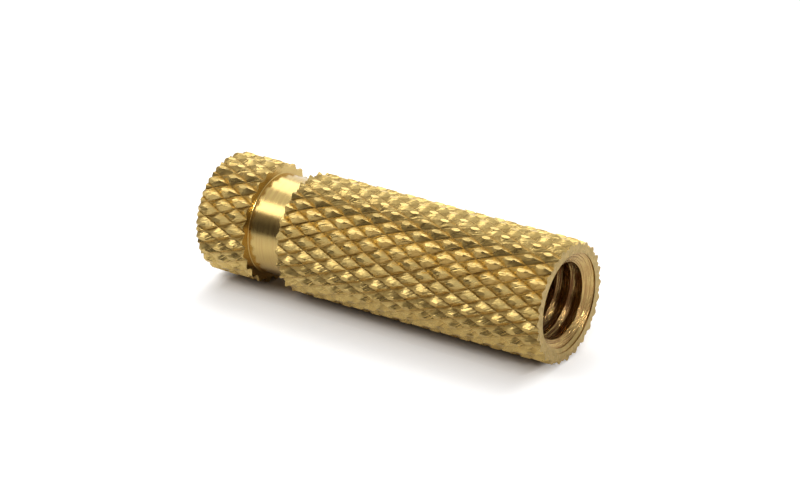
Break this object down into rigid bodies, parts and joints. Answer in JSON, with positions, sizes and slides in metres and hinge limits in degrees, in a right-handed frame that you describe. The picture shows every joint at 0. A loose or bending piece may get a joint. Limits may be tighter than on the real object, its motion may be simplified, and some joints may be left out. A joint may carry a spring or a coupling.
{
  "type": "threaded insert",
  "caption": "Cylindrical diamond-knurled brass insert with a turned groove behind its head and a blind threaded hole with a wider plain mouth, set into plastic or wood to take a screw.",
  "frame": {"origin": "centre of the flat closed head end, on the axis", "axes": "+Z along the axis from the head end to the mouth of the threaded hole"},
  "size_m": [0.008, 0.008, 0.0258],
  "materials": {
    "brass": "bright turned and knurled"
  },
  "bodies": {
    "root": {"threaded_insert": "brass"}
  },
  "joints": []
}
